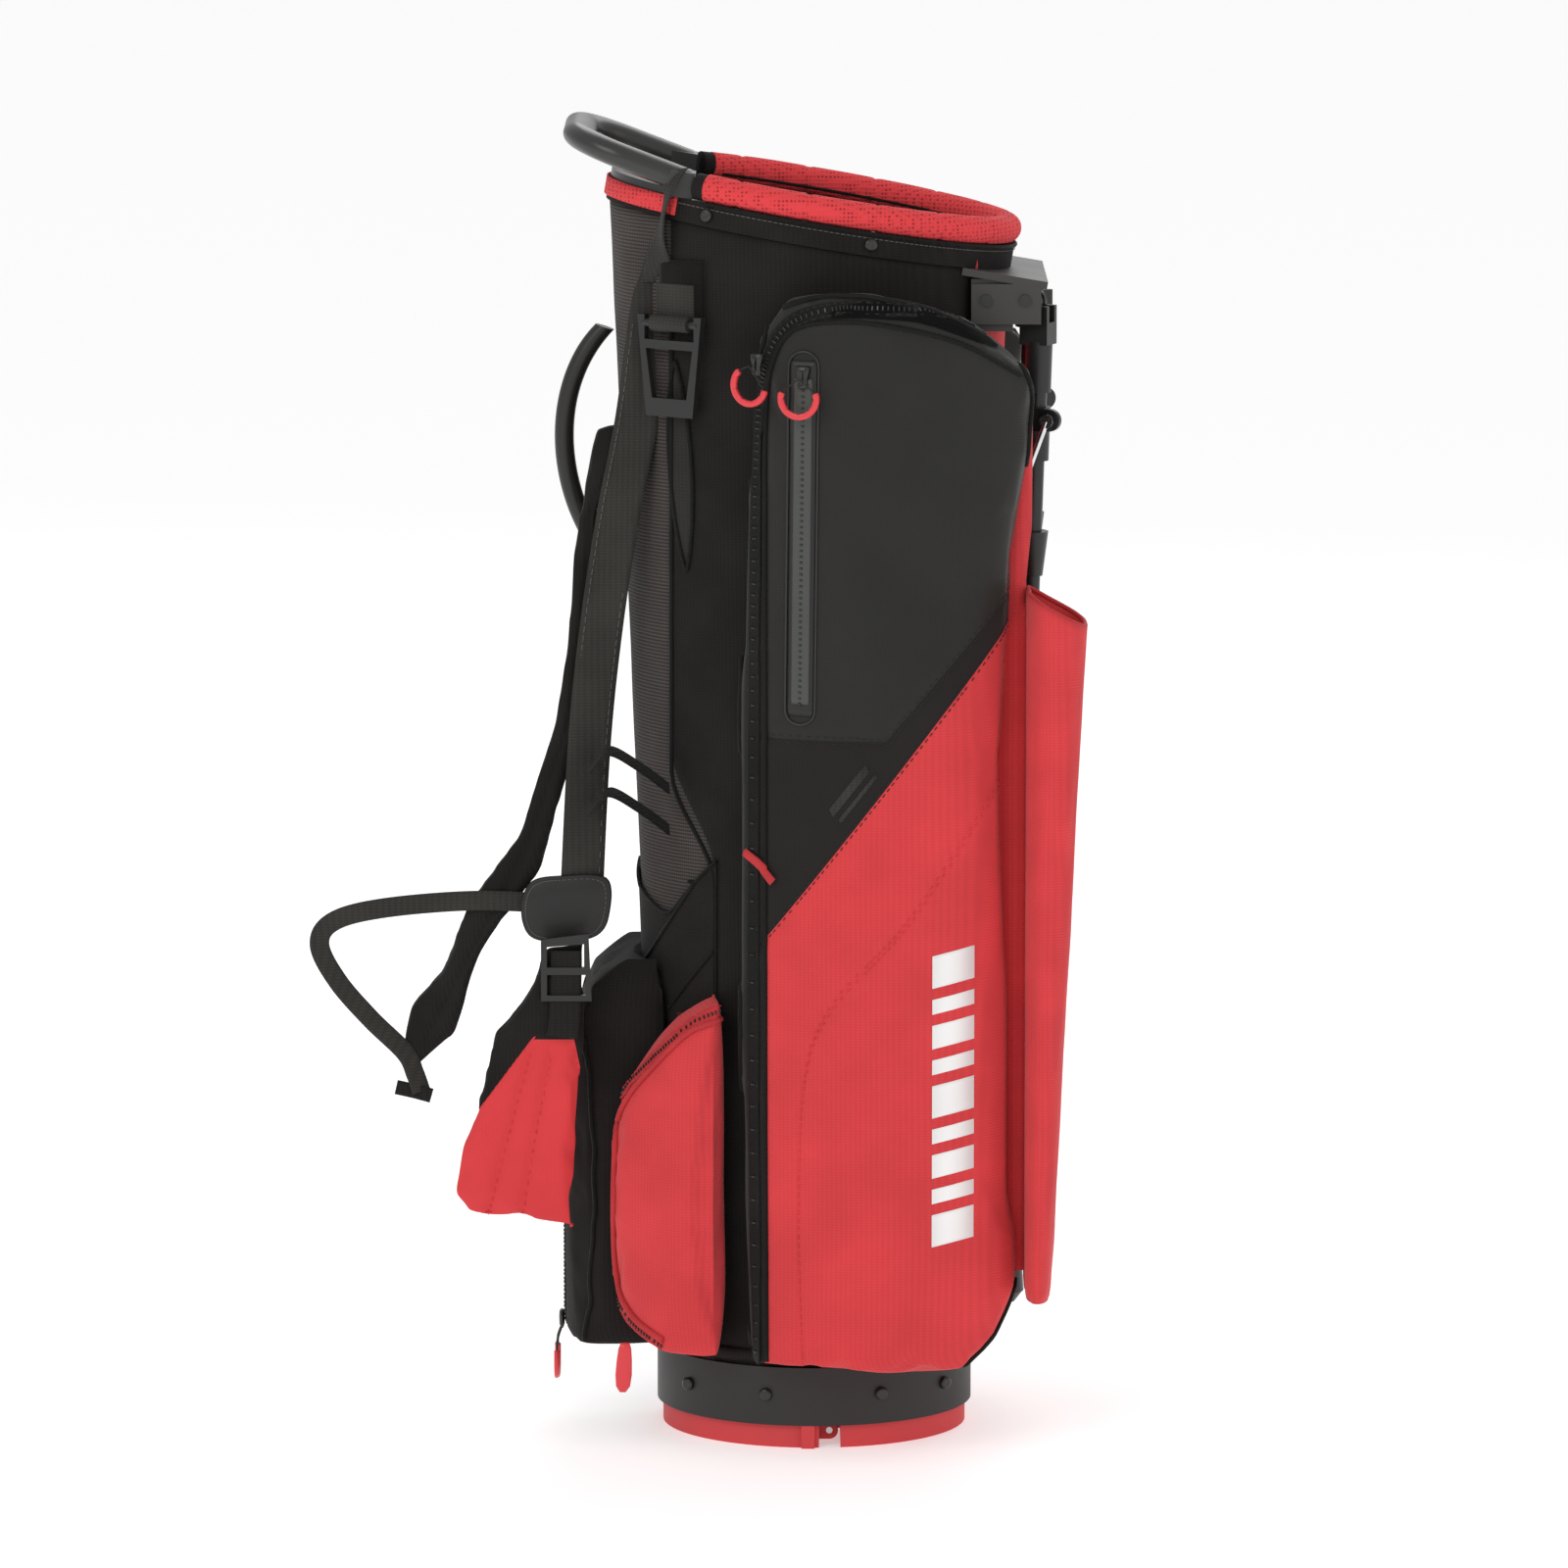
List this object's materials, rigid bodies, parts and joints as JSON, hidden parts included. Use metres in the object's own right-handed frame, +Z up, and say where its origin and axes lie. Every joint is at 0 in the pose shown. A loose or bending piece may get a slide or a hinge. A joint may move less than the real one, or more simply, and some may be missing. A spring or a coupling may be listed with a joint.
{
  "type": "golf stand bag",
  "caption": "Upright golf bag with divided top, zipped pockets, umbrella sleeve, shoulder pads and a foot plate that drives two swing-out stand legs.",
  "frame": {"origin": "centre of the sole on the floor", "axes": "+Z up, +X towards the stand legs, -X towards the spine and carry handles, -Y the side with the apparel pocket shown in the picture"},
  "size_m": [0.523, 0.2825, 0.8942],
  "materials": {
    "band_black": "matte moulded",
    "red_rubber": "matte rubber",
    "steel": "plain",
    "wire": "satin wire",
    "rivet": "satin",
    "mesh_grey": "ribbed mesh",
    "black_cloth": "woven polyester",
    "red_cloth": "fine ripstop weave",
    "fibreglass": "satin",
    "red_mesh": "air mesh",
    "grey_plastic": "moulded",
    "leg_alloy": "black anodised",
    "black_plastic": "moulded",
    "black_rubber": "satin rubber",
    "zip_metal": "black enamel",
    "red_plastic": "gloss",
    "webbing": "woven webbing",
    "soft_patch": "smooth",
    "pad_cloth": "brushed knit"
  },
  "bodies": {
    "bag": {"ball_pocket": "red_cloth", "base_cup": "band_black", "base_rivets": "rivet", "collar_band": "band_black", "collar_frame": "band_black", "collar_rivets": "rivet", "cuff_roll": "red_mesh", "cuff_trims": "band_black", "divider_bar_front": "grey_plastic", "divider_bar_long": "grey_plastic", "divider_bar_rear": "grey_plastic", "divider_sheets": "black_cloth", "far_panel": "black_cloth", "far_pocket": "black_cloth", "far_pocket_top": "black_cloth", "foot_hinge_pin": "steel", "front_panel": "black_cloth", "front_shoulder_pad": "pad_cloth", "grab_handle": "black_rubber", "hook_webbing": "webbing", "housing_screws": "steel", "hub_patch": "soft_patch", "leg_pivot_pin_far": "steel", "leg_pivot_pin_near": "steel", "lift_handle": "grey_plastic", "near_panel": "black_cloth", "near_pocket": "red_cloth", "near_pocket_top": "black_cloth", "pad_buckle": "black_plastic", "rear_shoulder_pad": "pad_cloth", "rear_sole": "red_rubber", "spine_panel": "mesh_grey", "spine_pocket": "black_cloth", "spine_webbing": "webbing", "stand_housing": "grey_plastic", "stay_rods": "fibreglass", "umbrella_sleeve": "red_cloth", "webbing_loop": "webbing"},
    "foot": {"foot_plate": "red_rubber"},
    "actuator": {"actuator_rod": "wire", "yoke": "wire"},
    "leg_near": {"ear_rivet_near": "steel", "leg_clamp_near": "black_plastic", "leg_clevis_near": "black_plastic", "leg_foot_near": "black_rubber", "leg_sleeve_near": "black_rubber", "leg_tube_near": "leg_alloy"},
    "leg_far": {"ear_rivet_far": "steel", "leg_clamp_far": "black_plastic", "leg_clevis_far": "black_plastic", "leg_foot_far": "black_rubber", "leg_sleeve_far": "black_rubber", "leg_tube_far": "leg_alloy"},
    "bow_near": {"bow_arm_near": "wire"},
    "bow_far": {"bow_arm_far": "wire"},
    "hook": {"utility_hook": "black_plastic"},
    "apparel_slider": {"apparel_slider": "zip_metal"},
    "apparel_ring": {"apparel_ring": "red_plastic"},
    "valuables_slider": {"valuables_slider": "zip_metal"},
    "valuables_ring": {"valuables_ring": "red_plastic"},
    "spine_slider": {"spine_slider": "zip_metal"}
  },
  "joints": [
    {"name": "foot_flex", "type": "hinge", "parent": "bag", "child": "foot", "pos_m": [0.01, 0, 0.008], "axis": [0, -1, 0], "range_deg": [0, 22]},
    {"name": "rod_slide", "type": "slide", "parent": "bag", "child": "actuator", "axis": [0.0384, 0, 0.9993], "range_m": [0, 0.0365]},
    {"name": "leg_near_swing", "type": "hinge", "parent": "bag", "child": "leg_near", "pos_m": [0.1436, -0.048, 0.775], "axis": [-0.4226, -0.9063, 0], "range_deg": [0, 24]},
    {"name": "leg_far_swing", "type": "hinge", "parent": "bag", "child": "leg_far", "pos_m": [0.1436, 0.048, 0.775], "axis": [0.4226, -0.9063, 0], "range_deg": [0, 24]},
    {"name": "bow_near_turn", "type": "hinge", "parent": "actuator", "child": "bow_near", "pos_m": [0.13452, -0.058, 0.64], "axis": [0.4226, 0.9063, 0], "range_deg": [0, 34.5]},
    {"name": "bow_far_turn", "type": "hinge", "parent": "actuator", "child": "bow_far", "pos_m": [0.13452, 0.058, 0.64], "axis": [-0.4226, 0.9063, 0], "range_deg": [0, 34.5]},
    {"name": "hook_swing", "type": "hinge", "parent": "bag", "child": "hook", "pos_m": [-0.09576, -0.08209, 0.764], "axis": [-0.8221, 0.5693, 0], "range_deg": [0, 75]},
    {"name": "apparel_zip", "type": "slide", "parent": "bag", "child": "apparel_slider", "axis": [0, 0, -1], "range_m": [0, 0.6]},
    {"name": "apparel_ring_swing", "type": "hinge", "parent": "apparel_slider", "child": "apparel_ring", "pos_m": [-0.04344, -0.13453, 0.742], "axis": [-0.849, 0.5284, 0], "range_deg": [0, 80]},
    {"name": "valuables_zip", "type": "slide", "parent": "bag", "child": "valuables_slider", "axis": [0, 0, -1], "range_m": [0, 0.22]},
    {"name": "valuables_ring_swing", "type": "hinge", "parent": "valuables_slider", "child": "valuables_ring", "pos_m": [-0.01113, -0.14862, 0.735], "axis": [-0.9527, 0.304, 0], "range_deg": [0, 80]},
    {"name": "spine_zip", "type": "slide", "parent": "bag", "child": "spine_slider", "axis": [0, 0, 1], "range_m": [0, 0.19]}
  ],
  "couplings": [
    {"joint": "rod_slide", "follows": "foot_flex", "m_per_rad": 0.09493},
    {"joint": "leg_near_swing", "follows": "foot_flex", "ratio": 1.0909},
    {"joint": "leg_far_swing", "follows": "foot_flex", "ratio": 1.0909},
    {"joint": "bow_near_turn", "follows": "foot_flex", "ratio": 1.568},
    {"joint": "bow_far_turn", "follows": "foot_flex", "ratio": 1.568}
  ]
}
